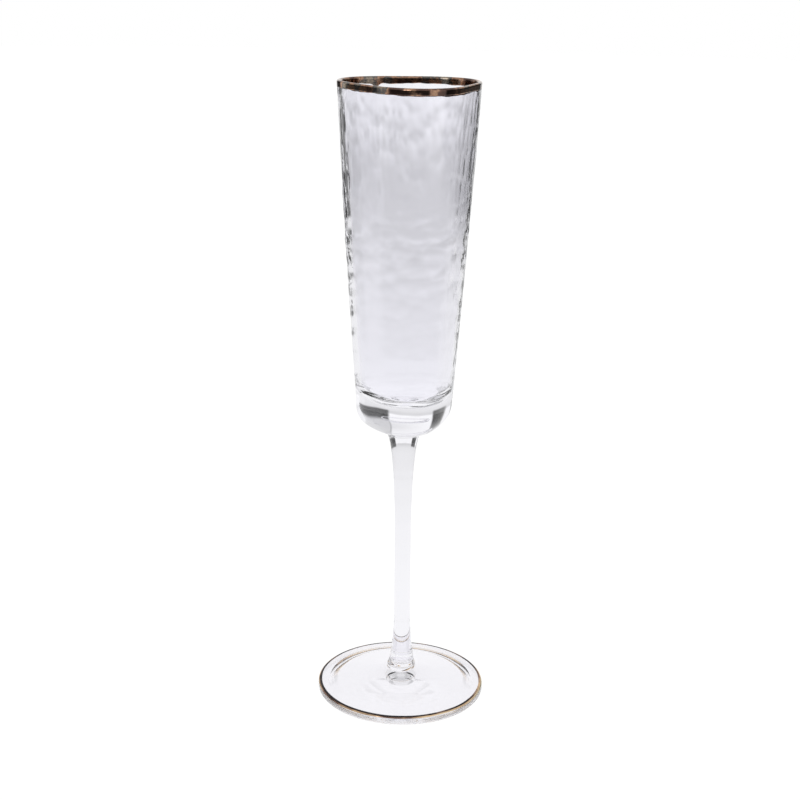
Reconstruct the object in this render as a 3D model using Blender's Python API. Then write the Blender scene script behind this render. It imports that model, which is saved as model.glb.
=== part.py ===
"""A hand-made champagne flute: a three-cornered bowl, a drawn stem, a button, a domed foot and two gilt bands.

Metres, +Z up. The origin is the centre of the foot's underside, and one corner of the bowl faces -Y.
"""

import math

import bmesh
import bpy

# Overall sizes.
OVERALL_HEIGHT = 0.2550
FOOT_RADIUS = 0.0350
BOWL_HEIGHT = 0.1405

# How far one gather of glass, or a gilt skin, keeps off the piece it is joined to.
CLEARANCE = 0.0003

# Bowl.
LIP_RADIUS = 0.02725
BASE_RADIUS = 0.0190
SIDE_BULGE = 0.00030
CORNERING = 0.099
LIP_WALL = 0.0017
BASE_WALL = 0.0023
BASE_THICKNESS = 0.0155
BASE_CURVE_HEIGHT = 0.0108
BASE_SQUARENESS = 2.4
CAVITY_FLOOR_CURVE = 0.0050
BOSS_HEIGHT = 0.0022
BOSS_STEP = 0.0001

# Stem.
STEM_TOP_RADIUS = 0.0065
STEM_WAIST_RADIUS = 0.00335
STEM_BOTTOM_RADIUS = 0.0050
STEM_TOP_FLARE = 0.0420
STEM_BOTTOM_FLARE = 0.0210

# Button between the stem and the foot.
BUTTON_HEIGHT = 0.0042
BUTTON_SWELL = 0.0008

# Foot.
FOOT_CENTRE_HEIGHT = 0.0092
FOOT_EDGE_HEIGHT = 0.0034
FOOT_EDGE_ROUND = 0.0010
FOOT_REST_WIDTH = 0.0060
FOOT_HOLLOW_DEPTH = 0.0020

# Gilding.
GILT_THICKNESS = 0.00025
LIP_GILT_HEIGHT = 0.0026
FOOT_GILT_HEIGHT = 0.0018
FOOT_GILT_REACH = 0.0012

# How finely curves are divided.
BOWL_SEGMENTS = 60
ROUND_SEGMENTS = 48
STEM_SEGMENTS = 32
WALL_RINGS = 7
ARC_STEPS = 4

# Widths that follow from the stem's own.
BOSS_RADIUS = STEM_TOP_RADIUS + BOSS_STEP
BUTTON_RADIUS = STEM_BOTTOM_RADIUS + BUTTON_SWELL

# Where one piece ends and the next begins.
FOOT_SEAT_Z = FOOT_CENTRE_HEIGHT
BUTTON_Z = FOOT_SEAT_Z + CLEARANCE
STEM_Z = BUTTON_Z + BUTTON_HEIGHT + CLEARANCE
BOWL_Z = OVERALL_HEIGHT - BOWL_HEIGHT
STEM_TOP_Z = BOWL_Z - CLEARANCE
WALL_Z = BOWL_Z + BOSS_HEIGHT + BASE_CURVE_HEIGHT
CAVITY_Z = BOWL_Z + BASE_THICKNESS
GILT_SEAT = GILT_THICKNESS + CLEARANCE


def clear_scene():
    for item in list(bpy.data.objects):
        bpy.data.objects.remove(item, do_unlink=True)


def make_material(name, colour, roughness, metallic=0.0, transmission=0.0):
    material = bpy.data.materials.new(name)
    material.use_nodes = True
    shader = material.node_tree.nodes["Principled BSDF"]
    shader.inputs["Base Color"].default_value = (*colour, 1.0)
    shader.inputs["Roughness"].default_value = roughness
    shader.inputs["Metallic"].default_value = metallic
    shader.inputs["Transmission Weight"].default_value = transmission
    return material


def mix(start, end, share):
    return start + (end - start) * share


def smooth(share):
    """Eases from 0 to 1, level at both ends."""
    return share * share * (3.0 - 2.0 * share)


def section_point(radius, cornering, angle, z):
    """A point on the three-cornered section; a corner faces -Y."""
    turn = angle + math.pi / 2
    reach = radius * (1.0 + cornering * math.cos(3.0 * turn))
    return (reach * math.cos(angle), reach * math.sin(angle), z)


def outer_radius(z):
    """Mean radius of the bowl's outer wall: a straight taper with a slight belly."""
    share = (z - WALL_Z) / (OVERALL_HEIGHT - WALL_Z)
    return mix(BASE_RADIUS, LIP_RADIUS, share) + SIDE_BULGE * math.sin(math.pi * share)


def wall_thickness(z):
    share = (z - WALL_Z) / (OVERALL_HEIGHT - WALL_Z)
    return mix(BASE_WALL, LIP_WALL, min(max(share, 0.0), 1.0))


def inner_radius(z):
    return outer_radius(max(z, WALL_Z)) - wall_thickness(z)


def add_object(name, mesh, material):
    item = bpy.data.objects.new(name, mesh)
    bpy.context.scene.collection.objects.link(item)
    mesh.materials.append(material)
    mesh.shade_smooth()
    mesh.set_sharp_from_angle(angle=math.radians(40))
    return item


def loft(name, rings, material, closed_ring=False):
    """Joins sections, each (mean radius, cornering, z), from the inside of one end to the inside of the other.

    An open loft is closed with a point at each end; a closed one joins its last section to its first.
    """
    angles = [2.0 * math.pi * step / BOWL_SEGMENTS for step in range(BOWL_SEGMENTS)]
    shape = bmesh.new()
    loops = []
    for radius, cornering, z in rings:
        loops.append([shape.verts.new(section_point(radius, cornering, angle, z)) for angle in angles])
    pairs = list(zip(loops, loops[1:]))
    if closed_ring:
        pairs.append((loops[-1], loops[0]))
    for lower, upper in pairs:
        for step in range(BOWL_SEGMENTS):
            after = (step + 1) % BOWL_SEGMENTS
            shape.faces.new((lower[step], lower[after], upper[after], upper[step]))
    if not closed_ring:
        for loop, z in ((loops[0], rings[0][2]), (loops[-1], rings[-1][2])):
            centre = shape.verts.new((0.0, 0.0, z))
            for step in range(BOWL_SEGMENTS):
                shape.faces.new((loop[step], loop[(step + 1) % BOWL_SEGMENTS], centre))
    bmesh.ops.recalc_face_normals(shape, faces=shape.faces)
    mesh = bpy.data.meshes.new(name)
    shape.to_mesh(mesh)
    shape.free()
    return add_object(name, mesh, material)


def turn(name, profile, segments, material, closed_profile=False):
    """Turns a profile of (radius, z), which runs down its outer side, about the Z axis."""
    mesh = bpy.data.meshes.new(name)
    edges = [(step, step + 1) for step in range(len(profile) - 1)]
    if closed_profile:
        edges.append((len(profile) - 1, 0))
    mesh.from_pydata([(radius, 0.0, z) for radius, z in profile], edges, [])
    item = bpy.data.objects.new(name, mesh)
    bpy.context.scene.collection.objects.link(item)
    mesh.materials.append(material)
    screw = item.modifiers.new("Turned", "SCREW")
    screw.steps = segments
    screw.render_steps = segments
    screw.use_merge_vertices = True
    screw.merge_threshold = 0.00001
    screw.use_smooth_shade = True
    return item


def arc(centre_radius, centre_z, across, up, start, end, steps=ARC_STEPS):
    """Points of an elliptical arc in (radius, z), by angle from the +radius direction."""
    points = []
    for step in range(steps + 1):
        angle = math.radians(mix(start, end, step / steps))
        points.append((centre_radius + across * math.cos(angle), centre_z + up * math.sin(angle)))
    return points


def bowl_underside():
    """Sections from the joint face, up the boss and round the thick base to the foot of the wall.

    The base is a quarter of a superellipse: a power over 2 makes it squarer than an ellipse.
    """
    rings = [(BOSS_RADIUS, 0.0, BOWL_Z)]
    curve_z = BOWL_Z + BOSS_HEIGHT
    power = 2.0 / BASE_SQUARENESS
    steps = 2 * ARC_STEPS
    for step in range(steps):
        angle = math.pi / 2 * step / steps
        radius = mix(BOSS_RADIUS, BASE_RADIUS, math.sin(angle) ** power)
        z = curve_z + BASE_CURVE_HEIGHT * (1.0 - math.cos(angle) ** power)
        rings.append((radius, CORNERING * smooth(step / steps), z))
    return rings


def bowl_lip(shoulder_z):
    """Sections of the thin glass tongue that the gilt band caps, outside to inside."""
    top_z = OVERALL_HEIGHT - GILT_SEAT
    outer = [
        (outer_radius(shoulder_z), CORNERING, shoulder_z),
        (outer_radius(shoulder_z) - GILT_SEAT, CORNERING, shoulder_z),
        (outer_radius(top_z) - GILT_SEAT, CORNERING, top_z),
    ]
    inner = [
        (inner_radius(top_z) + GILT_SEAT, CORNERING, top_z),
        (inner_radius(shoulder_z) + GILT_SEAT, CORNERING, shoulder_z),
        (inner_radius(shoulder_z), CORNERING, shoulder_z),
    ]
    return outer + inner


def bowl_cavity(shoulder_z):
    """Sections from under the lip down the inner wall to the rounded floor."""
    low_z = CAVITY_Z + CAVITY_FLOOR_CURVE
    rings = []
    for step in range(1, WALL_RINGS + 1):
        z = mix(shoulder_z, low_z, step / WALL_RINGS)
        rings.append((inner_radius(z), CORNERING, z))
    edge_radius = inner_radius(low_z)
    for radius, z in arc(
        edge_radius - CAVITY_FLOOR_CURVE, low_z, CAVITY_FLOOR_CURVE, CAVITY_FLOOR_CURVE, 0.0, -90.0
    )[1:]:
        rings.append((radius, CORNERING * radius / edge_radius, z))
    return rings


def make_bowl(material):
    shoulder_z = OVERALL_HEIGHT - LIP_GILT_HEIGHT - CLEARANCE
    wall = []
    for step in range(WALL_RINGS):
        z = mix(WALL_Z, shoulder_z, step / WALL_RINGS)
        wall.append((outer_radius(z), CORNERING, z))
    rings = bowl_underside() + wall + bowl_lip(shoulder_z) + bowl_cavity(shoulder_z)
    return loft("bowl", rings, material)


def make_lip_gilding(material):
    """A channel of even thickness over the lip, its top rounded outside."""
    bottom_z = OVERALL_HEIGHT - LIP_GILT_HEIGHT
    round_height = GILT_SEAT
    round_z = OVERALL_HEIGHT - round_height
    tongue_z = OVERALL_HEIGHT - GILT_THICKNESS
    outside = [(outer_radius(bottom_z), bottom_z), (outer_radius(round_z), round_z)]
    outside += [
        (outer_radius(round_z) - round_height + radius, z)
        for radius, z in arc(0.0, round_z, round_height, round_height, 0.0, 90.0, 3)[1:]
    ]
    inside = [
        (inner_radius(round_z) + round_height - radius, z)
        for radius, z in arc(0.0, round_z, round_height, round_height, 90.0, 0.0, 3)
    ]
    inside += [(inner_radius(bottom_z), bottom_z)]
    channel = [
        (inner_radius(bottom_z) + GILT_THICKNESS, bottom_z),
        (inner_radius(tongue_z) + GILT_THICKNESS, tongue_z),
        (outer_radius(tongue_z) - GILT_THICKNESS, tongue_z),
        (outer_radius(bottom_z) - GILT_THICKNESS, bottom_z),
    ]
    rings = [(radius, CORNERING, z) for radius, z in outside + inside + channel]
    return loft("lip_gilding", rings, material, closed_ring=True)


def stem_radius(z):
    """The drawn stem: narrow along its middle, swelling towards each end."""
    upper = max(0.0, 1.0 - (STEM_TOP_Z - z) / STEM_TOP_FLARE)
    lower = max(0.0, 1.0 - (z - STEM_Z) / STEM_BOTTOM_FLARE)
    top_swell = (STEM_TOP_RADIUS - STEM_WAIST_RADIUS) * upper**2
    bottom_swell = (STEM_BOTTOM_RADIUS - STEM_WAIST_RADIUS) * lower**2
    return STEM_WAIST_RADIUS + top_swell + bottom_swell


def make_stem(material):
    steps = 3 * ARC_STEPS
    profile = [(0.0, STEM_TOP_Z)]
    for step in range(steps + 1):
        # The rings bunch towards both ends, where the stem swells.
        share = 0.5 - 0.5 * math.cos(math.pi * step / steps)
        z = mix(STEM_TOP_Z, STEM_Z, share)
        profile.append((stem_radius(z), z))
    profile.append((0.0, STEM_Z))
    return turn("stem", profile, STEM_SEGMENTS, material)


def make_foot_button(material):
    half = BUTTON_HEIGHT / 2
    middle_z = BUTTON_Z + half
    profile = [(0.0, BUTTON_Z + BUTTON_HEIGHT)]
    profile += arc(STEM_BOTTOM_RADIUS, middle_z, BUTTON_SWELL, half, 90.0, -90.0, 2 * ARC_STEPS)
    profile.append((0.0, BUTTON_Z))
    return turn("foot_button", profile, STEM_SEGMENTS, material)


def foot_top(radius, seat_radius, edge_radius, edge_z):
    """Height of the foot's upper face: a low cone that steepens towards the button."""
    share = (edge_radius - radius) / (edge_radius - seat_radius)
    return mix(edge_z, FOOT_SEAT_Z, share**1.25)


def make_foot(material):
    seat_radius = BUTTON_RADIUS
    ledge_radius = FOOT_RADIUS - FOOT_GILT_REACH - CLEARANCE
    ledge_z = FOOT_EDGE_HEIGHT - GILT_SEAT
    band_z = FOOT_EDGE_HEIGHT - FOOT_GILT_HEIGHT - CLEARANCE
    low_round = min(FOOT_EDGE_ROUND, band_z)
    steps = 2 * ARC_STEPS
    profile = [(0.0, FOOT_SEAT_Z)]
    for step in range(steps + 1):
        radius = mix(seat_radius, ledge_radius, step / steps)
        profile.append((radius, foot_top(radius, seat_radius, ledge_radius, FOOT_EDGE_HEIGHT)))
    # The seat that the gilt band is let into.
    seat_round = FOOT_EDGE_ROUND - GILT_SEAT
    profile.append((ledge_radius, ledge_z))
    profile += arc(
        FOOT_RADIUS - GILT_SEAT - seat_round, ledge_z - seat_round, seat_round, seat_round, 90.0, 0.0, 3
    )
    profile.append((FOOT_RADIUS - GILT_SEAT, band_z))
    profile += arc(FOOT_RADIUS - low_round, low_round, low_round, low_round, 0.0, -90.0, 3)
    # The flat ring it stands on, and the hollow inside that.
    rest_radius = FOOT_RADIUS - low_round - FOOT_REST_WIDTH
    for step in range(ARC_STEPS + 1):
        share = step / ARC_STEPS
        profile.append((rest_radius * (1.0 - share), FOOT_HOLLOW_DEPTH * smooth(share)))
    return turn("foot", profile, ROUND_SEGMENTS, material)


def make_foot_gilding(material):
    """A band of even thickness round the foot's edge, turned in over its upper face."""
    bottom_z = FOOT_EDGE_HEIGHT - FOOT_GILT_HEIGHT
    inner_round = FOOT_EDGE_ROUND - GILT_THICKNESS
    centre_radius = FOOT_RADIUS - FOOT_EDGE_ROUND
    centre_z = FOOT_EDGE_HEIGHT - FOOT_EDGE_ROUND
    profile = [(FOOT_RADIUS - FOOT_GILT_REACH, FOOT_EDGE_HEIGHT)]
    profile += arc(centre_radius, centre_z, FOOT_EDGE_ROUND, FOOT_EDGE_ROUND, 90.0, 0.0)
    profile += [(FOOT_RADIUS, bottom_z), (FOOT_RADIUS - GILT_THICKNESS, bottom_z)]
    profile += arc(centre_radius, centre_z, inner_round, inner_round, 0.0, 90.0)
    profile.append((FOOT_RADIUS - FOOT_GILT_REACH, FOOT_EDGE_HEIGHT - GILT_THICKNESS))
    return turn("foot_gilding", profile, ROUND_SEGMENTS, material, closed_profile=True)


def main():
    clear_scene()
    glass = make_material("clear_glass", (0.97, 0.97, 0.99), 0.02, transmission=1.0)
    gilt = make_material("gilding", (0.55, 0.38, 0.24), 0.22, metallic=1.0)
    make_lip_gilding(gilt)
    make_bowl(glass)
    make_stem(glass)
    make_foot_button(glass)
    make_foot(glass)
    make_foot_gilding(gilt)


main()
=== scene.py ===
import math

import bpy
import numpy as np
from mathutils import Matrix, Vector


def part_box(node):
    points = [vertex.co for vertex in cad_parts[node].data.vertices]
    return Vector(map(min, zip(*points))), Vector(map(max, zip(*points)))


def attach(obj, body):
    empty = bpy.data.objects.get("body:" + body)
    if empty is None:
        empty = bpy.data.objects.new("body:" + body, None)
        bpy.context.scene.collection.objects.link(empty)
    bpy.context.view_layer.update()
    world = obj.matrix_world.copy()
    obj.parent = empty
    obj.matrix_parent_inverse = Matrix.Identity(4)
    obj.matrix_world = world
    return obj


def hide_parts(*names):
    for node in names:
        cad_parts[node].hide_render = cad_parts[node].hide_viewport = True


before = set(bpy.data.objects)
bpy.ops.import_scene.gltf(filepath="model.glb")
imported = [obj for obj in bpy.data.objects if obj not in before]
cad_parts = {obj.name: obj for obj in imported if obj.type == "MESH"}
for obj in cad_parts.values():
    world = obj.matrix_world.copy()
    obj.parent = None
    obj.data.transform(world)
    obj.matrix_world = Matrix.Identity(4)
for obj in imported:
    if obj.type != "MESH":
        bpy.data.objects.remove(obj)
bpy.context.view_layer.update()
print("frame loaded with", len(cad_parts), "pieces")

turnRound = 2.0 * math.pi
mm = 0.001

# heights that every piece is set out from
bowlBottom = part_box("bowl")[0].z
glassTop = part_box("lip_gilding")[1].z
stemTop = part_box("stem")[1].z
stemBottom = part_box("stem")[0].z
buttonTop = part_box("foot_button")[1].z
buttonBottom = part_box("foot_button")[0].z
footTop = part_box("foot")[1].z
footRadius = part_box("foot_gilding")[1].x
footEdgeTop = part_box("foot_gilding")[1].z

# the glass gathers are fused half way across the gaps between the solids, with a slight lean of the stem
joints = {
    "underBowl": 0.5 * (bowlBottom + stemTop),
    "underStem": 0.5 * (stemBottom + buttonTop),
    "underButton": footTop,
    "lap": 0.01 * mm,             # each gather runs this far past the joint
    "levelNormal": 0.99,          # a face counts as level when its normal is this nearly upright
    "topLean": -0.6 * mm,
    "bottomLean": 0.35 * mm,
}


def smoothStep(value, low, high):
    # eases from 0 at low to 1 at high, level at both ends
    share = np.clip((value - low) / (high - low), 0.0, 1.0)
    return share * share * (3.0 - 2.0 * share)


def sineSum(value, waves):
    # sum of sine waves, each given by its rate, strength and starting phase
    return sum(strength * np.sin(value * rate + phase) for rate, strength, phase in waves)


def wander(angle, line):
    # whole-number sine waves round the axis, each weaker than the one before;
    # they seldom meet, so their mean is raised by lift to reach about one depth either way
    lift = 1.6
    phases = np.random.default_rng(line["seed"]).uniform(0.0, turnRound, len(line["waves"]))
    strengths = 1.0 / np.sqrt(np.arange(1, len(line["waves"]) + 1))
    total = sineSum(angle, zip(line["waves"], strengths, phases))
    return line["depth"] * (total / strengths.sum() * lift)


def aroundAngles(columns):
    # equal steps round the axis, without the last one that meets the first
    return np.arange(columns) * turnRound / columns


def gridSurface(points, closedRows, first):
    # quads between neighbouring rows, each row joined round; open ends are closed with a pole
    rows, columns = points.shape[:2]
    index = np.arange(rows * columns).reshape(rows, columns)
    near = index if closedRows else index[:-1]
    far = np.roll(index, -1, axis=0) if closedRows else index[1:]
    quads = np.stack([near, np.roll(near, -1, axis=1), np.roll(far, -1, axis=1), far], axis=-1)
    faces = quads.reshape(-1, 4).tolist()
    vertices = points.reshape(-1, 3)
    if not closedRows:
        poles = np.stack([points[0].mean(axis=0), points[-1].mean(axis=0)])
        vertices = np.vstack([vertices, poles])
        firstPole, lastPole = rows * columns, rows * columns + 1
        start, end = index[0], index[-1]
        faces += np.stack([np.roll(start, -1), start, np.full(columns, firstPole)], -1).tolist()
        faces += np.stack([end, np.roll(end, -1), np.full(columns, lastPole)], -1).tolist()
    faces = [[first + corner for corner in face] for face in faces]
    return vertices.tolist(), faces


def fusedFaces(mesh):
    # the level faces where two gathers are joined, which light crosses without bending
    centres = np.empty(len(mesh.polygons) * 3)
    normals = np.empty(len(mesh.polygons) * 3)
    mesh.polygons.foreach_get("center", centres)
    mesh.polygons.foreach_get("normal", normals)
    heights = np.array([joints["underBowl"], joints["underStem"], joints["underButton"]])
    apart = np.abs(centres[2::3, None] - heights).min(axis=1)
    isLevel = np.abs(normals[2::3]) > joints["levelNormal"]
    return (apart < 2.0 * joints["lap"]) & isLevel


def addGrid(name, points, material, closedRows=False, replaces=None, inside=None):
    # one smooth piece from a grid of points, with any ring of points inside it in the same mesh
    vertices, faces = gridSurface(points, closedRows, 0)
    if inside is not None:
        more, moreFaces = gridSurface(inside, True, len(vertices))
        vertices, faces = vertices + more, faces + moreFaces
    mesh = bpy.data.meshes.new(name)
    mesh.from_pydata(vertices, [], faces)
    mesh.shade_smooth()
    mesh.materials.append(material)
    if material in gathers:
        mesh.materials.append(fusedFace)
        fused = fusedFaces(mesh)
        mesh.polygons.foreach_set("material_index", fused.astype(np.int32))
        mesh.polygons.foreach_set("use_smooth", ~fused)
    piece = bpy.data.objects.new(name, mesh)
    bpy.context.scene.collection.objects.link(piece)
    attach(piece, "root")
    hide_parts(replaces)
    print("made", name, "with", len(faces), "faces")


def turned(radius, z, columns, offsetX=0.0):
    # a profile of radius and height carried round the axis, its centre moved sideways by offsetX
    angle = aroundAngles(columns)[None, :]
    radius, z = radius[:, None], z[:, None]
    x = radius * np.cos(angle) + np.reshape(offsetX, (-1, 1))
    y = radius * np.sin(angle)
    return np.stack([x, y, z + 0.0 * angle], axis=-1)


class NodeMaths:
    # shorthand for chaining the nodes that the materials share, all in one tree
    def __init__(self, tree):
        self.tree = tree

    def place(self, coordinates="Object"):
        # where on the piece, or in which direction from it, a pattern is read
        return self.tree.nodes.new("ShaderNodeTexCoord").outputs[coordinates]

    def parts(self, vector):
        # the x, y and z of a place
        split = self.tree.nodes.new("ShaderNodeSeparateXYZ")
        self.tree.links.new(vector, split.inputs["Vector"])
        return tuple(split.outputs)

    def calc(self, operation, first, second=None):
        # one sum on two values, each a number or another node's output
        made = self.tree.nodes.new("ShaderNodeMath")
        made.operation = operation
        for socket, value in zip(made.inputs, (first, second)):
            if isinstance(value, (int, float)):
                socket.default_value = value
            elif value is not None:
                self.tree.links.new(value, socket)
        return made.outputs["Value"]

    def spread(self, value, low, high, start=0.0, end=1.0, kind="LINEAR"):
        # runs evenly from start at low to end at high, and stays level beyond them
        made = self.tree.nodes.new("ShaderNodeMapRange")
        made.interpolation_type = kind
        for socket, number in zip(("From Min", "From Max", "To Min", "To Max"), (low, high, start, end)):
            made.inputs[socket].default_value = number
        self.tree.links.new(value, made.inputs["Value"])
        return made.outputs["Result"]

    def ease(self, value, low, high, start=0.0, end=1.0):
        # as spread, but level at both ends
        return self.spread(value, low, high, start, end, "SMOOTHSTEP")

    def distance(self, x, y):
        # square root of x squared plus y squared, never 0
        squares = self.calc("ADD", self.calc("MULTIPLY", x, x), self.calc("MULTIPLY", y, y))
        return self.calc("MAXIMUM", self.calc("SQRT", squares), 0.0001)

    def noise(self, scale, detail, roughness=0.5):
        # soft random pattern over the piece, 0 to 1, finer as scale grows
        made = self.tree.nodes.new("ShaderNodeTexNoise")
        made.inputs["Scale"].default_value = scale
        made.inputs["Detail"].default_value = detail
        made.inputs["Roughness"].default_value = roughness
        self.tree.links.new(self.place(), made.inputs["Vector"])
        return made.outputs["Fac"]

    def bump(self, height, strength, reach):
        # tilts the surface as if a pattern stood this far proud of it
        made = self.tree.nodes.new("ShaderNodeBump")
        made.inputs["Strength"].default_value = strength
        made.inputs["Distance"].default_value = reach
        self.tree.links.new(height, made.inputs["Height"])
        return made.outputs["Normal"]


def newMaterial(name):
    # an empty material and its node tree
    material = bpy.data.materials.new(name)
    material.use_nodes = True
    tree = material.node_tree
    tree.nodes.clear()
    return material, tree


glassLook = {
    "tint": (0.950, 0.947, 0.985, 1.0),
    "ior": 1.5,
    "cloudScale": 60.0,
    "cloudDetail": 3.0,
    "cloudGrain": 0.55,
    "cloudRange": (0.45, 0.8),    # the part of the cloud pattern that dulls the surface
    "roughness": (0.0, 0.02),
    "rippleScale": 220.0,
    "rippleDetail": 1.0,
    "rippleHeight": 0.03,
    "rippleReach": 0.2 * mm,
}
stemGlassLook = {**glassLook, "tint": (0.925, 0.922, 0.955, 1.0)}
footGlassLook = {
    **glassLook,
    "tint": (0.940, 0.932, 0.972, 1.0),
    "roughness": (0.0, 0.01),
    "rippleHeight": 0.0,
    "edge": footRadius - 0.9 * mm,    # past this radius the rim is left softer by fire polishing
    "edgeWidth": 1.0 * mm,
    "edgeHaze": 0.12,
}
fusedLook = {
    **glassLook,
    "tint": (1.0, 1.0, 1.0, 1.0),
    "ior": 1.0,
    "roughness": (0.0, 0.0),
    "rippleHeight": 0.0,
}


def makeGlass(name, look):
    # clear glass with faint ripples and clouding; a shadow ray goes straight through its tint
    material, tree = newMaterial(name)
    maths = NodeMaths(tree)
    cloud = maths.noise(look["cloudScale"], look["cloudDetail"], look["cloudGrain"])
    dull = maths.spread(cloud, *look["cloudRange"], *look["roughness"])
    if "edge" in look:
        x, y = maths.parts(maths.place())[:2]
        away = maths.distance(x, y)
        haze = maths.ease(away, look["edge"] - look["edgeWidth"], look["edge"], 0.0, look["edgeHaze"])
        dull = maths.calc("ADD", dull, haze)
    ripple = maths.noise(look["rippleScale"], look["rippleDetail"])
    shader = tree.nodes.new("ShaderNodeBsdfPrincipled")
    shader.inputs["Base Color"].default_value = look["tint"]
    shader.inputs["Transmission Weight"].default_value = 1.0
    shader.inputs["IOR"].default_value = look["ior"]
    tree.links.new(dull, shader.inputs["Roughness"])
    normal = maths.bump(ripple, look["rippleHeight"], look["rippleReach"])
    tree.links.new(normal, shader.inputs["Normal"])
    passing = tree.nodes.new("ShaderNodeBsdfTransparent")
    passing.inputs["Color"].default_value = look["tint"]
    path = tree.nodes.new("ShaderNodeLightPath")
    either = tree.nodes.new("ShaderNodeMixShader")
    tree.links.new(path.outputs["Is Shadow Ray"], either.inputs["Fac"])
    tree.links.new(shader.outputs["BSDF"], either.inputs[1])
    tree.links.new(passing.outputs["BSDF"], either.inputs[2])
    output = tree.nodes.new("ShaderNodeOutputMaterial")
    tree.links.new(either.outputs["Shader"], output.inputs["Surface"])
    return material


lipGiltLook = {
    "colours": (
        (0.0, (0.07, 0.05, 0.045)),
        (0.34, (0.17, 0.10, 0.08)),
        (0.48, (0.52, 0.31, 0.20)),
        (0.60, (0.12, 0.12, 0.12)),
        (0.82, (0.46, 0.37, 0.28)),
        (1.0, (0.95, 0.86, 0.68)),
    ),
    "patchScale": 95.0,
    "patchDetail": 4.0,
    "patchGrain": 0.6,
    "patchRange": (0.3, 0.7),     # the part of the patch pattern that runs through all the colours
    "roughness": (0.05, 0.22),
    "brushScale": 900.0,
    "brushDetail": 2.0,
    "brushHeight": 0.10,
    "brushReach": 0.1 * mm,
}
footGiltLook = {
    **lipGiltLook,
    "colours": (
        (0.0, (0.03, 0.025, 0.025)),
        (0.25, (0.26, 0.16, 0.12)),
        (0.50, (0.86, 0.62, 0.38)),
        (1.0, (1.0, 0.90, 0.64)),
    ),
    "patchScale": 40.0,
    # painted shade: near the top of the shoulder the foot's lustre colour is darkened by height, in place
    # of a dark reflection
    "paintedShadeAbove": footEdgeTop + 0.02 * mm,    # height above which the lustre is painted darker, as painted shade for the dark room its top reflects
    "paintedShadeFade": (0.08 * mm, 0.04 * mm),      # how far below and above that the change runs
    "paintedShadeLoss": 0.55,
}


def makeGilding(name, look):
    # burnt-on gold lustre: patches that run through the colours, thinly brushed
    material, tree = newMaterial(name)
    maths = NodeMaths(tree)
    patch = maths.noise(look["patchScale"], look["patchDetail"], look["patchGrain"])
    tone = maths.spread(patch, *look["patchRange"])
    # painted shade: above a set height the colour is pulled towards the ramp's dark end, standing in for
    # the dark room the top reflects
    if "paintedShadeAbove" in look:
        z = maths.parts(maths.place())[2]
        below, above = look["paintedShadeFade"]
        low, high = look["paintedShadeAbove"] - below, look["paintedShadeAbove"] + above
        tone = maths.calc("SUBTRACT", tone, maths.spread(z, low, high, 0.0, look["paintedShadeLoss"]))
    ramp = tree.nodes.new("ShaderNodeValToRGB")
    stops = ramp.color_ramp.elements
    while len(stops) < len(look["colours"]):
        stops.new(0.5)
    for stop, (position, colour) in zip(stops, look["colours"]):
        stop.position = position
        stop.color = (*colour, 1.0)
    tree.links.new(tone, ramp.inputs["Fac"])
    dull = maths.spread(patch, *look["patchRange"], *look["roughness"])
    brushed = maths.noise(look["brushScale"], look["brushDetail"])
    shader = tree.nodes.new("ShaderNodeBsdfPrincipled")
    shader.inputs["Metallic"].default_value = 1.0
    tree.links.new(ramp.outputs["Color"], shader.inputs["Base Color"])
    tree.links.new(dull, shader.inputs["Roughness"])
    normal = maths.bump(brushed, look["brushHeight"], look["brushReach"])
    tree.links.new(normal, shader.inputs["Normal"])
    output = tree.nodes.new("ShaderNodeOutputMaterial")
    tree.links.new(shader.outputs["BSDF"], output.inputs["Surface"])
    return material


bowlGlass = makeGlass("clearGlass", glassLook)
stemGlass = makeGlass("stemGlass", stemGlassLook)
footGlass = makeGlass("footGlass", footGlassLook)
fusedFace = makeGlass("fusedFace", fusedLook)
gathers = (bowlGlass, stemGlass, footGlass)
lipGilding = makeGilding("goldLustre", lipGiltLook)
footGilding = makeGilding("darkLustreWithPaintedShade", footGiltLook)
print("made materials")


bowl = {
    "columns": 320,
    "cornering": 0.099,           # how far the corners stand out, as a share of the radius
    "cornersFull": 0.93,          # share of the base's radius at which they stand out fully
    "baseRadius": 19.0 * mm,
    "lipRadius": 27.25 * mm,
    "bulge": 0.3 * mm,
    "baseWall": 2.3 * mm,
    "lipWall": 1.7 * mm,
    "lipRound": 0.75 * mm,
    "bossRadius": 6.85 * mm,
    "bossHeight": 1.6 * mm,
    "bossFillet": 1.2 * mm,
    "curveHeight": 10.6 * mm,
    "squareness": 2.5,
    "floorHeight": 14.6 * mm,
    "floorCurve": 7.0 * mm,       # how high the cavity's rounded bottom edge starts
    "floorReach": 9.0 * mm,       # and how far in it runs
    "floorHump": 0.35 * mm,       # the cavity's floor is a little higher in the middle
    "humpReach": 0.8,             # share of the floor that the hump takes up
    "innerEcho": -0.1,            # share of the hammering that shows on the inner wall
    "faceRings": (0.25, 0.6, 0.93, 1.0),
    "filletRows": 7,
    "underRows": 34,
    "ringGap": 0.1 * mm,          # the underside starts this far outside the fillet
    "wallRows": 170,
    "lipRows": 13,
    "innerRows": 64,
    "bendRows": 12,
    "floorRows": 9,
}
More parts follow.
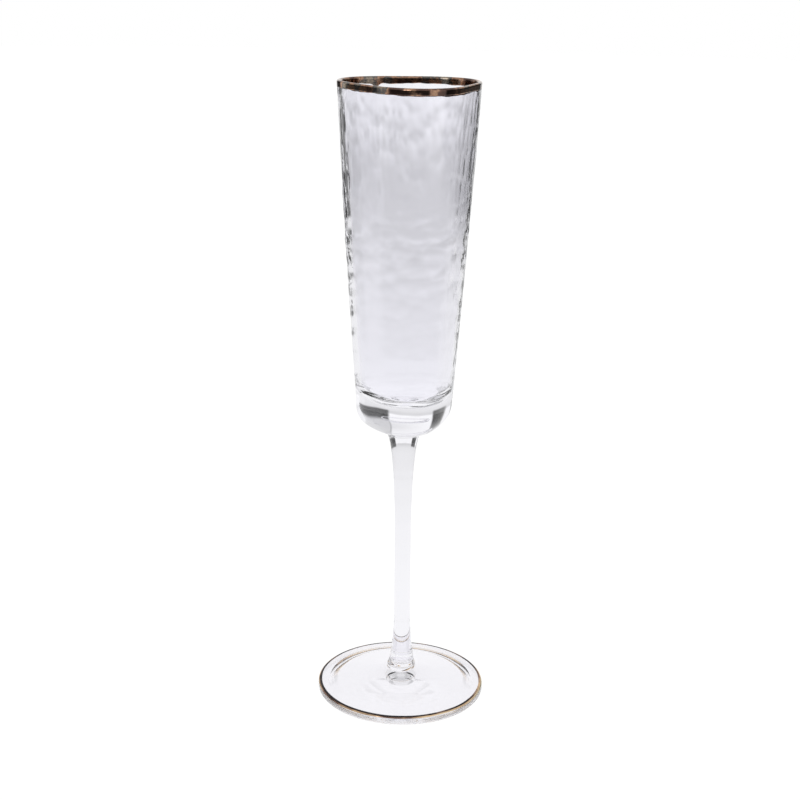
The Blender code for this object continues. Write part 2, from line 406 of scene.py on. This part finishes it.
hammer = {
    "depth": 0.17 * mm,
    "lowDepth": 0.16 * mm,
    "fade": (141.0 * mm, 205.0 * mm),
    "change": (190.0 * mm, 222.0 * mm),
    "lowShare": 0.15,             # strength just above the base, the rest comes in over the fade
    "lowRise": 12.0 * mm,
    "lipLoss": 0.65,              # the wall is calmer between these distances under the lip
    "lipFade": (5.0 * mm, 1.5 * mm),
    "drops": {"around": 38, "tall": 9.5 * mm, "above": 1.5, "below": 0.62, "jitter": 0.75, "seed": 11},
    "dimples": {"around": 22, "tall": 6.2 * mm, "above": 0.8, "below": 0.7, "jitter": 0.9, "seed": 23},
    "sizeWander": 0.12,
    "softness": 9.0,
    "midLevel": 0.25,             # level of the marks that lies on the plain wall
    "drawLines": 0.004 * mm,      # fine upright ripples left by drawing the wall up
    "lineWaves": ((61.0, 40.0, 0.0), (97.0, -55.0, 1.3), (43.0, 0.0, 2.1)),
}
giltBand = {
    "columns": 384,
    "sideRows": 9,
    "overRows": 11,
    "proud": 0.04 * mm,
    "sunk": 0.02 * mm,
    "outsideHeight": 2.6 * mm,
    "outsideLine": {"depth": 0.09 * mm, "waves": (2, 5, 9, 14, 23), "seed": 3},
    "insideHeight": 2.9 * mm,
    "insideLine": {"depth": 0.3 * mm, "waves": (1, 4, 7, 13, 19, 31), "seed": 8},
    "dripAngle": math.radians(116.0),
    "dripWidth": math.radians(3.2),
    "dripLength": 1.4 * mm,
}
wallBottom = bowlBottom + bowl["bossHeight"] + bowl["curveHeight"]
cavityFloor = bowlBottom + bowl["floorHeight"]
lipRoundZ = glassTop - bowl["lipRound"] - giltBand["proud"]


def hammerCells(angle, z, cells):
    # squared distance to the nearest centre of a jittered lattice, rounded where two centres meet;
    # a centre reaches further above itself than below, so each mark hangs like a drop
    around, tall = cells["around"], cells["tall"]
    across, up = angle / turnRound * around, z / tall
    levels = int(np.ceil(up.max())) + 3
    rng = np.random.default_rng(cells["seed"])
    jitter = (rng.random((levels, around, 2)) - 0.5) * cells["jitter"]
    size = rng.uniform(-hammer["sizeWander"], hammer["sizeWander"], (levels, around))
    column, level = np.floor(across).astype(int), np.floor(up).astype(int)
    total = np.zeros_like(across)
    for stepUp in (-2, -1, 0, 1, 2):
        row = np.clip(level + stepUp, 0, levels - 1)
        for stepRound in (-2, -1, 0, 1, 2):
            cell = column + stepRound
            home = cell % around
            sway = 0.5 * (row % 2)    # every other row is shifted half a cell
            offRound = across - (cell + 0.25 + sway + jitter[row, home, 0])
            offUp = up - (row + 0.5 + jitter[row, home, 1])
            offUp = np.where(offUp > 0.0, offUp / cells["above"], offUp / cells["below"])
            total += np.exp(-hammer["softness"] * (offRound**2 + offUp**2 + size[row, home]))
    return -np.log(total) / hammer["softness"]


def hammered(angle, z):
    # drops near the lip give way to rounder dimples lower down, and both fade out above the base;
    # the height is strength times twice the depth times the marks' level, plus the draw lines
    angle, z = np.broadcast_arrays(angle, z)
    share = smoothStep(z, *hammer["change"])
    field = share * hammerCells(angle, z, hammer["drops"])
    field = field + (1.0 - share) * hammerCells(angle, z, hammer["dimples"])
    rise = smoothStep(z, wallBottom, wallBottom + hammer["lowRise"])
    strength = hammer["lowShare"] * rise + (1.0 - hammer["lowShare"]) * smoothStep(z, *hammer["fade"])
    lipLow, lipHigh = hammer["lipFade"]
    strength = strength * (1.0 - hammer["lipLoss"] * smoothStep(z, glassTop - lipLow, glassTop - lipHigh))
    lines = sum(np.sin(around * angle + up * z + phase) for around, up, phase in hammer["lineWaves"])
    depth = hammer["lowDepth"] + (hammer["depth"] - hammer["lowDepth"]) * share
    return strength * (depth * 2.0 * (field - hammer["midLevel"]) + hammer["drawLines"] * lines)


def wallRadius(z):
    # straight taper from base to lip with a slight belly
    share = (z - wallBottom) / (glassTop - wallBottom)
    return bowl["baseRadius"] + (bowl["lipRadius"] - bowl["baseRadius"]) * share \
        + bowl["bulge"] * np.sin(np.pi * np.clip(share, 0.0, 1.0))


def wallThickness(z):
    # thins evenly from base to lip
    share = np.clip((z - wallBottom) / (glassTop - wallBottom), 0.0, 1.0)
    return bowl["baseWall"] + (bowl["lipWall"] - bowl["baseWall"]) * share


def cornered(radius, cornering, angle, z):
    # three-cornered section: the radius swells three times round, and one corner faces -Y
    reach = radius * (1.0 + cornering * np.cos(3.0 * (angle + np.pi / 2.0)))
    angle, z = np.broadcast_arrays(angle, z)
    return np.stack([reach * np.cos(angle), reach * np.sin(angle), z + 0.0 * reach], axis=-1)


def outerRadius(angle, z, proud):
    # the wall's radius with its hammering, plus what stands proud of it
    return wallRadius(z) + hammered(angle, z) + proud


def innerRadius(angle, z, proud):
    # inside the wall's thickness, with a weak echo of the hammering
    return wallRadius(z) - wallThickness(z) + bowl["innerEcho"] * hammered(angle, z) - proud


def outerWall(angle, z, proud=0.0):
    # points on the outside of the bowl at this angle and height
    return cornered(outerRadius(angle, z, proud), bowl["cornering"], angle, z)


def innerWall(angle, z, proud=0.0):
    # points on the inside, going straight down below the outer wall's foot
    return cornered(innerRadius(angle, np.maximum(z, wallBottom), proud), bowl["cornering"], angle, z)


def lipTop(angle, share, proud=0.0):
    # half an ellipse from the outer wall over to the inner wall, share 0 to 1
    outer = outerRadius(angle, lipRoundZ, proud)
    inner = innerRadius(angle, lipRoundZ, proud)
    radius = 0.5 * (outer + inner) + 0.5 * (outer - inner) * np.cos(np.pi * share)
    z = lipRoundZ + (bowl["lipRound"] + proud) * np.sin(np.pi * share)
    return cornered(radius, bowl["cornering"], angle, z)


def basePoints(angle):
    # joint face and boss, with a quarter-round fillet into the underside
    curveZ = bowlBottom + bowl["bossHeight"]
    fillet = bowl["bossFillet"]
    faceRadius = bowl["bossRadius"] * np.array(bowl["faceRings"])
    faceZ = np.full_like(faceRadius, joints["underBowl"] - joints["lap"])
    turnShare = np.linspace(0.0, 1.0, bowl["filletRows"])
    filletRadius = bowl["bossRadius"] + fillet * (1.0 - np.cos(turnShare * np.pi / 2))
    filletZ = curveZ - fillet * (1.0 - np.sin(turnShare * np.pi / 2))
    # underside: a quarter of a superellipse from the boss to the wall
    step = np.linspace(0.0, 1.0, bowl["underRows"])[:-1]
    power = 2.0 / bowl["squareness"]
    across = np.sin(step * np.pi / 2) ** power
    underRadius = bowl["bossRadius"] + (bowl["baseRadius"] - bowl["bossRadius"]) * across
    underZ = curveZ + bowl["curveHeight"] * (1.0 - np.cos(step * np.pi / 2) ** power)
    keep = underRadius > filletRadius[-1] + bowl["ringGap"]
    radius = np.concatenate([faceRadius, filletRadius, underRadius[keep]])
    z = np.concatenate([faceZ, filletZ, underZ[keep]])
    # round at the boss, and fully cornered near the wall
    cornersFull = bowl["baseRadius"] * bowl["cornersFull"]
    cornering = bowl["cornering"] * smoothStep(radius, bowl["bossRadius"], cornersFull)
    under = cornered(radius[:, None], cornering[:, None], angle, z[:, None])
    slide = (1.0 - smoothStep(z, bowlBottom, wallBottom))[:, None]
    under[..., 0] += slide * joints["topLean"]
    return under


def floorPoints(angle, lowZ):
    # a quarter-round edge down to the cavity's floor, with the cornering dying away to the centre
    bend = np.linspace(0.0, 1.0, bowl["bendRows"])[1:] * np.pi / 2
    edgeZ = max(lowZ, wallBottom)
    edge = float(wallRadius(edgeZ) - wallThickness(edgeZ))
    radius = edge - bowl["floorReach"] * (1.0 - np.cos(bend))
    z = lowZ - bowl["floorCurve"] * np.sin(bend)
    flatRadius = np.linspace(1.0, 0.0, bowl["floorRows"])[1:-1] * radius[-1]
    radius = np.concatenate([radius, flatRadius])
    z = np.concatenate([z, np.full_like(flatRadius, z[-1])])
    z = z + bowl["floorHump"] * smoothStep(-radius, -edge * bowl["humpReach"], 0.0)
    return cornered(radius[:, None], (bowl["cornering"] * radius / edge)[:, None], angle, z[:, None])


def bowlPoints():
    # one skin: from the joint up the outside, over the lip, down the inside and across the floor
    angle = aroundAngles(bowl["columns"])[None, :]
    outer = outerWall(angle, np.linspace(wallBottom, lipRoundZ, bowl["wallRows"])[:, None])
    lip = lipTop(angle, np.linspace(0.0, 1.0, bowl["lipRows"])[1:-1, None])
    lowZ = cavityFloor + bowl["floorCurve"]
    inner = innerWall(angle, np.linspace(lipRoundZ, lowZ, bowl["innerRows"])[:, None])
    return np.concatenate([basePoints(angle), outer, lip, inner, floorPoints(angle, lowZ)])


fusion = {
    "columns": 160,
    "ringPoints": 8,
    "radius": 4.2 * mm,
    "rise": 7.6 * mm,
    "width": 0.2 * mm,
}


def fusionPoints():
    # a ring, for the fine seam left inside the solid base where the stem's gather was fused on
    bend = aroundAngles(fusion["ringPoints"])[:, None]
    angle = aroundAngles(fusion["columns"])[None, :]
    radius = fusion["radius"] + fusion["width"] * np.cos(bend)
    z = bowlBottom + fusion["rise"] + fusion["width"] * np.sin(bend) + 0.0 * angle
    return np.stack([radius * np.cos(angle), radius * np.sin(angle), z], axis=-1)


addGrid("bowlGlass", bowlPoints(), bowlGlass, replaces="bowl", inside=fusionPoints())


def lipGiltPoints():
    # a skin over the lip whose painted edges wander, and which has one run on the inside
    angle = aroundAngles(giltBand["columns"])[None, :]
    outsideLow = glassTop - giltBand["outsideHeight"] - wander(angle, giltBand["outsideLine"])
    insideLow = glassTop - giltBand["insideHeight"] - wander(angle, giltBand["insideLine"])
    away = (angle - giltBand["dripAngle"]) / giltBand["dripWidth"]
    insideLow = insideLow - giltBand["dripLength"] * np.exp(-away**2)
    rise = np.linspace(0.0, 1.0, giltBand["sideRows"])[:, None]
    over = np.linspace(0.0, 1.0, giltBand["overRows"])[1:-1, None]

    def skin(proud):
        # up the outside, over the lip and down the inside, this far off the glass
        outside = outerWall(angle, outsideLow + (lipRoundZ - outsideLow) * rise, proud)
        inside = innerWall(angle, lipRoundZ + (insideLow - lipRoundZ) * rise, proud)
        return np.concatenate([outside, lipTop(angle, over, proud), inside])

    return np.concatenate([skin(giltBand["proud"]), skin(-giltBand["sunk"])[::-1]])


addGrid("lipGilt", lipGiltPoints(), lipGilding, closedRows=True, replaces="lip_gilding")


stem = {
    "columns": 96,
    "rows": 170,
    "topRadius": 5.65 * mm,
    "collar": 1.2 * mm,           # a last quick flare where it meets the bowl
    "collarLength": 3.0 * mm,
    "waistRadius": 3.35 * mm,
    "bottomRadius": 5.0 * mm,
    "topFlare": 42.0 * mm,
    "bottomFlare": 21.0 * mm,
    "unevenness": 0.03 * mm,
    "waves": ((310.0, 1.0, 0.0), (730.0, 0.6, 1.0)),
}


def stemPoints():
    # narrow along the middle, swelling by a square law towards each end, with a slow drawn wave
    lap = joints["lap"]
    z = np.linspace(joints["underStem"] - lap, joints["underBowl"] + lap, stem["rows"])
    upper = np.maximum(0.0, 1.0 - (stemTop - z) / stem["topFlare"])
    lower = np.maximum(0.0, 1.0 - (z - stemBottom) / stem["bottomFlare"])
    radius = stem["waistRadius"] + (stem["topRadius"] - stem["waistRadius"]) * upper**2 \
        + (stem["bottomRadius"] - stem["waistRadius"]) * lower**2 \
        + stem["collar"] * np.exp(-(stemTop - z) / stem["collarLength"])
    radius = radius + stem["unevenness"] * sineSum(z, stem["waves"])
    share = (z - stemBottom) / (stemTop - stemBottom)
    lean = joints["bottomLean"] + (joints["topLean"] - joints["bottomLean"]) * share
    return turned(radius, z, stem["columns"], offsetX=lean)


addGrid("stemGlass", stemPoints(), stemGlass, replaces="stem")


button = {
    "columns": 96,
    "rows": 36,
    "swell": 0.9 * mm,
    "widest": 0.25,               # share of its height at which it is widest
    "turnIn": 0.12,
}


def buttonPoints():
    # carries the stem's flare on, swells below its middle and turns in to the foot
    lap = joints["lap"]
    z = np.linspace(joints["underButton"] - lap, joints["underStem"] + lap, button["rows"])
    share = np.clip((z - buttonBottom) / (buttonTop - buttonBottom), 0.0, 1.0)
    upper = 1.0 - smoothStep(share, button["widest"], 1.0)
    below = np.clip((button["widest"] - share) / button["widest"], 0.0, 1.0)
    lower = np.sqrt(1.0 - below**2 * button["turnIn"])
    radius = stem["bottomRadius"] + button["swell"] * upper * lower
    lean = joints["bottomLean"] * (0.5 + 0.5 * share)    # half of it is left at the foot
    return turned(radius, z, button["columns"], offsetX=lean)


addGrid("buttonGlass", buttonPoints(), stemGlass, replaces="foot_button")


foot = {
    "columns": 240,
    "centreRadius": 0.4 * mm,
    "seatRadius": 5.8 * mm,
    "edgeRound": 1.0 * mm,
    "restWidth": 3.2 * mm,
    "hollowDepth": 3.2 * mm,
    "stepDepth": 1.2 * mm,        # the hollow starts with a short steeper rise, inside the standing ring
    "stepWidth": 4.6 * mm,
    "stepSoft": 0.05,             # how softly that rise ends, as a share of its width
    "conePower": 1.25,
    "ringHeight": 0.004 * mm,
    "ringWaves": ((900.0, 1.0, 0.0), (1730.0, 0.6, 0.7)),
    "ringFade": (1.0 * mm, 4.0 * mm),
    "seatRows": 6,
    "coneRows": 56,
    "bendRows": 10,
    "hollowRows": 44,
}


def footTopHeight(radius):
    # a low cone from edge to seat that steepens towards the button, with faint turned rings
    share = np.clip((footRadius - radius) / (footRadius - foot["seatRadius"]), 0.0, 1.0)
    cone = footEdgeTop + (footTop - footEdgeTop) * share ** foot["conePower"]
    rings = sineSum(radius, foot["ringWaves"])
    return cone + foot["ringHeight"] * rings * smoothStep(footRadius - radius, *foot["ringFade"])


def footPoints():
    # seat and cone, quarter-round shoulder and toe, the ring it stands on, and the hollow's sine curve
    edge = foot["edgeRound"]
    seatRadius = np.linspace(foot["centreRadius"], foot["seatRadius"], foot["seatRows"])
    coneRadius = np.linspace(foot["seatRadius"], footRadius - edge, foot["coneRows"])[1:]
    topRadius = np.concatenate([seatRadius, coneRadius])
    bend = np.linspace(0.0, 1.0, foot["bendRows"])[1:] * np.pi / 2
    shoulderRadius = footRadius - edge + edge * np.sin(bend)
    shoulderZ = footTopHeight(footRadius - edge) - edge * (1.0 - np.cos(bend))
    toeRadius = footRadius - edge + edge * np.cos(bend)
    toeZ = edge - edge * np.sin(bend)
    rest = footRadius - edge - foot["restWidth"]
    share = np.linspace(0.0, 1.0, foot["hollowRows"])[:-1]
    hollowRadius = rest * (1.0 - share)
    rise = (rest - hollowRadius) / foot["stepWidth"]
    rise = rise - foot["stepSoft"] * np.log1p(np.exp((rise - 1.0) / foot["stepSoft"]))
    deeper = foot["hollowDepth"] - foot["stepDepth"]
    hollowZ = foot["stepDepth"] * rise + deeper * np.sin(share * np.pi / 2)
    radius = np.concatenate([topRadius, shoulderRadius, toeRadius, hollowRadius])
    z = np.concatenate([footTopHeight(topRadius), shoulderZ, toeZ, hollowZ])
    return turned(radius, z, foot["columns"])[::-1]


addGrid("footGlass", footPoints(), footGlass, replaces="foot")


footGilt = {
    "columns": 384,
    "flatRows": 5,
    "bendRows": 11,
    "proud": 0.04 * mm,
    "sunk": 0.02 * mm,
    "reach": 1.5 * mm,
    "reachLine": {"depth": 0.1 * mm, "waves": (2, 3, 7, 12, 20), "seed": 31},
    "turn": math.radians(64.0),   # how far round the shoulder it is painted
    "turnLine": {"depth": math.radians(5.0), "waves": (1, 4, 9, 17), "seed": 47},
}


def footGiltPoints():
    # a skin over the foot's shoulder, from a wandering line on top to one part of the way round it
    angle = aroundAngles(footGilt["columns"])[None, :]
    edge = foot["edgeRound"]
    reach = footGilt["reach"] + wander(angle, footGilt["reachLine"])
    turn = footGilt["turn"] + wander(angle, footGilt["turnLine"])
    topZ = footTopHeight(footRadius - edge)
    share = np.linspace(0.0, 1.0, footGilt["flatRows"])[:-1, None]
    bend = np.linspace(0.0, 1.0, footGilt["bendRows"])[:, None] * turn

    def skin(proud):
        # in from the painted line to the shoulder and round its arc, this far off the glass
        flatRadius = footRadius - reach + (reach - edge) * share
        flatZ = topZ + proud + 0.0 * flatRadius
        arcRadius = footRadius - edge + (edge + proud) * np.sin(bend)
        arcZ = topZ - edge + (edge + proud) * np.cos(bend)
        radius = np.concatenate([flatRadius, arcRadius])
        z = np.concatenate([flatZ, arcZ])
        return np.stack([radius * np.cos(angle), radius * np.sin(angle), z], axis=-1)

    return np.concatenate([skin(footGilt["proud"]), skin(-footGilt["sunk"])[::-1]])[::-1]


addGrid("footGilt", footGiltPoints(), footGilding, closedRows=True, replaces="foot_gilding")


studio = {
    "floorSides": 128,
    "floorRadius": 4.0,
    "floorDrop": 0.2 * mm,        # a hair under the foot, so that glass and floor don't share a plane
    "floorPaint": (0.07, 0.07, 0.07, 1.0),
    "floorToEye": 0.98,           # plain white where it is looked at directly
    # how bright glass and gilding see the floor, easing from one value to the next over these distances
    "floorNear": 0.93,
    "nearRange": (0.08, 0.32),
    "floorMiddle": 0.86,
    "farRange": (0.35, 1.2),
    "floorFar": 0.66,
    "backRange": (1.25, 2.6),
    "floorBack": 0.98,
    "darkRange": (0.75, 1.05),    # between the white walls it darkens here
    "floorDark": 0.03,
    "slatCount": -20.0,           # soft upright bands across the far floor and wall
    "slatDepth": 0.03,
    "slatRange": (1.0, 2.0),
    # white walls by compass: middle, half width and softness in degrees, and brightness
    "walls": (
        (9.0, 22.0, 4.0, 1.0),
        (-45.0, 7.0, 4.0, 1.0),
        (-92.0, 10.0, 4.0, 0.8),
        (136.0, 20.0, 6.0, 1.0),
    ),
    "wallRange": (0.12, 0.50),    # sines of the heights between which the white walls dim a little
    "wallTop": 0.8,
    "sidesRange": (0.12, 0.32),   # and between which the other sides brighten
    "sides": 0.65,
    "room": 0.02,
    "bounces": 28,                # light turns many corners inside thick glass
    "glossyBounces": 20,
}
softboxes = (
    {"name": "overhead", "place": (0.0, 0.1, 1.6), "aim": (0.0, 0.0, 0.0), "size": (1.6, 1.6),
     "power": 9.0, "seenInGloss": False},
    {"name": "keyLeft", "place": (-0.55, -0.75, 0.62), "aim": (0.0, 0.0, 0.2), "size": (0.25, 0.6),
     "power": 1.2, "seenInGloss": True},
)


def whiteWalls(maths, x, y, away):
    # 1 towards a white wall and 0 between walls, by the cosine of the compass angle to its middle
    white = None
    for middle, half, soft, bright in studio["walls"]:
        towardX, towardY = math.sin(math.radians(middle)), math.cos(math.radians(middle))
        along = maths.calc("ADD", maths.calc("MULTIPLY", x, towardX), maths.calc("MULTIPLY", y, towardY))
        facing = maths.calc("DIVIDE", along, away)
        low, high = math.cos(math.radians(half + soft)), math.cos(math.radians(half))
        wall = maths.ease(facing, low, high, 0.0, bright)
        white = wall if white is None else maths.calc("MAXIMUM", white, wall)
    return white


def makeFloor():
    # a wide round floor that glows by its distance from the axis and by the walls beyond it
    mesh = bpy.data.meshes.new("floor")
    angle = aroundAngles(studio["floorSides"])
    rim = np.stack([np.cos(angle), np.sin(angle), 0.0 * angle], axis=-1) * studio["floorRadius"]
    rim[:, 2] = -studio["floorDrop"]
    mesh.from_pydata(rim.tolist(), [], [list(range(studio["floorSides"]))])
    material, tree = newMaterial("paleFloor")
    maths = NodeMaths(tree)
    x, y = maths.parts(maths.place())[:2]
    away = maths.distance(x, y)
    lit = maths.ease(away, *studio["nearRange"], studio["floorNear"], studio["floorMiddle"])
    drop = maths.ease(away, *studio["farRange"], 0.0, studio["floorMiddle"] - studio["floorFar"])
    lit = maths.calc("SUBTRACT", lit, drop)
    rise = maths.ease(away, *studio["backRange"], 0.0, studio["floorBack"] - studio["floorFar"])
    lit = maths.calc("ADD", lit, rise)
    slats = maths.calc("SINE", maths.calc("MULTIPLY", maths.calc("ARCTAN2", x, y), studio["slatCount"]))
    slats = maths.calc("MULTIPLY", slats, maths.ease(away, *studio["slatRange"], 0.0, studio["slatDepth"]))
    lit = maths.calc("ADD", lit, slats)
    between = maths.calc("SUBTRACT", 1.0, whiteWalls(maths, x, y, away))
    far = maths.ease(away, *studio["darkRange"])
    loss = maths.calc("MULTIPLY", maths.calc("MULTIPLY", between, far), 1.0 - studio["floorDark"])
    lit = maths.calc("MULTIPLY", lit, maths.calc("SUBTRACT", 1.0, loss))
    path = tree.nodes.new("ShaderNodeLightPath")
    toEye = maths.calc("MULTIPLY", path.outputs["Is Camera Ray"], studio["floorToEye"])
    glow = tree.nodes.new("ShaderNodeEmission")
    tree.links.new(maths.calc("MAXIMUM", lit, toEye), glow.inputs["Strength"])
    matte = tree.nodes.new("ShaderNodeBsdfDiffuse")
    matte.inputs["Color"].default_value = studio["floorPaint"]
    both = tree.nodes.new("ShaderNodeAddShader")
    tree.links.new(glow.outputs["Emission"], both.inputs[0])
    tree.links.new(matte.outputs["BSDF"], both.inputs[1])
    output = tree.nodes.new("ShaderNodeOutputMaterial")
    tree.links.new(both.outputs["Shader"], output.inputs["Surface"])
    mesh.materials.append(material)
    floor = bpy.data.objects.new("floor", mesh)
    bpy.context.scene.collection.objects.link(floor)


def makeRoom():
    # white to the eye; to the glass a room with white walls on some sides, and the rest dark near
    # the floor and light grey higher up: the brighter of the two, and never quite black
    world = bpy.data.worlds.new("studio")
    bpy.context.scene.world = world
    world.use_nodes = True
    tree = world.node_tree
    tree.nodes.clear()
    maths = NodeMaths(tree)
    x, y, z = maths.parts(maths.place("Generated"))
    white = whiteWalls(maths, x, y, maths.distance(x, y))
    walls = maths.calc("MULTIPLY", white, maths.ease(z, *studio["wallRange"], 1.0, studio["wallTop"]))
    between = maths.calc("SUBTRACT", 1.0, white)
    sides = maths.calc("MULTIPLY", between, maths.ease(z, *studio["sidesRange"], 0.0, studio["sides"]))
    light = maths.calc("MAXIMUM", maths.calc("MAXIMUM", walls, sides), studio["room"])
    path = tree.nodes.new("ShaderNodeLightPath")
    light = maths.calc("MAXIMUM", light, path.outputs["Is Camera Ray"])
    background = tree.nodes.new("ShaderNodeBackground")
    background.inputs["Color"].default_value = (1.0, 1.0, 1.0, 1.0)
    tree.links.new(light, background.inputs["Strength"])
    output = tree.nodes.new("ShaderNodeOutputWorld")
    tree.links.new(background.outputs["Background"], output.inputs["Surface"])


def addSoftbox(box):
    # an area light at its place, turned to face its aim
    light = bpy.data.lights.new(box["name"], "AREA")
    light.shape = "RECTANGLE"
    light.size, light.size_y = box["size"]
    light.energy = box["power"]
    lamp = bpy.data.objects.new(box["name"], light)
    lamp.location = box["place"]
    toAim = Vector(box["aim"]) - Vector(box["place"])
    lamp.rotation_euler = toAim.to_track_quat("-Z", "Y").to_euler()
    lamp.visible_glossy = box["seenInGloss"]
    lamp.visible_transmission = False
    bpy.context.scene.collection.objects.link(lamp)


makeFloor()
makeRoom()
for softbox in softboxes:
    addSoftbox(softbox)

view = {
    "away": 0.58003,              # level distance from the axis
    "height": 0.30525,
    "round": 9.042,               # degrees, the object's turn seen by the camera
    "aside": -0.234,
    "down": 16.981,
    "roll": 1.075,
    "lens": 67.32,
    "sensor": 36.0,
    "clipStart": 0.01,
}


def makeCamera():
    # looks a little down at the glass from in front, a touch to the left, with a slight roll
    turn = math.radians(view["round"])
    heading = math.radians(view["round"] + view["aside"])
    down, roll = math.radians(view["down"]), math.radians(view["roll"])
    level = math.cos(down)
    ahead = Vector((math.sin(heading) * level, math.cos(heading) * level, -math.sin(down)))
    right = Vector((math.cos(heading), -math.sin(heading), 0.0))
    above = right.cross(ahead)
    rightRolled = right * math.cos(roll) + above * math.sin(roll)
    aboveRolled = above * math.cos(roll) - right * math.sin(roll)
    axes = Matrix((rightRolled, aboveRolled, -ahead)).transposed().to_4x4()
    place = Vector((-math.sin(turn) * view["away"], -math.cos(turn) * view["away"], view["height"]))
    cameraData = bpy.data.cameras.new("camera")
    cameraData.lens = view["lens"]
    cameraData.sensor_width = view["sensor"]
    cameraData.clip_start = view["clipStart"]
    camera = bpy.data.objects.new("camera", cameraData)
    camera.matrix_world = Matrix.Translation(place) @ axes
    bpy.context.scene.collection.objects.link(camera)
    bpy.context.scene.camera = camera


makeCamera()
bpy.context.scene.view_settings.view_transform = "Standard"
bpy.context.scene.cycles.max_bounces = studio["bounces"]
bpy.context.scene.cycles.glossy_bounces = studio["glossyBounces"]
bpy.context.scene.cycles.transmission_bounces = studio["bounces"]
print("made floor, light and camera")
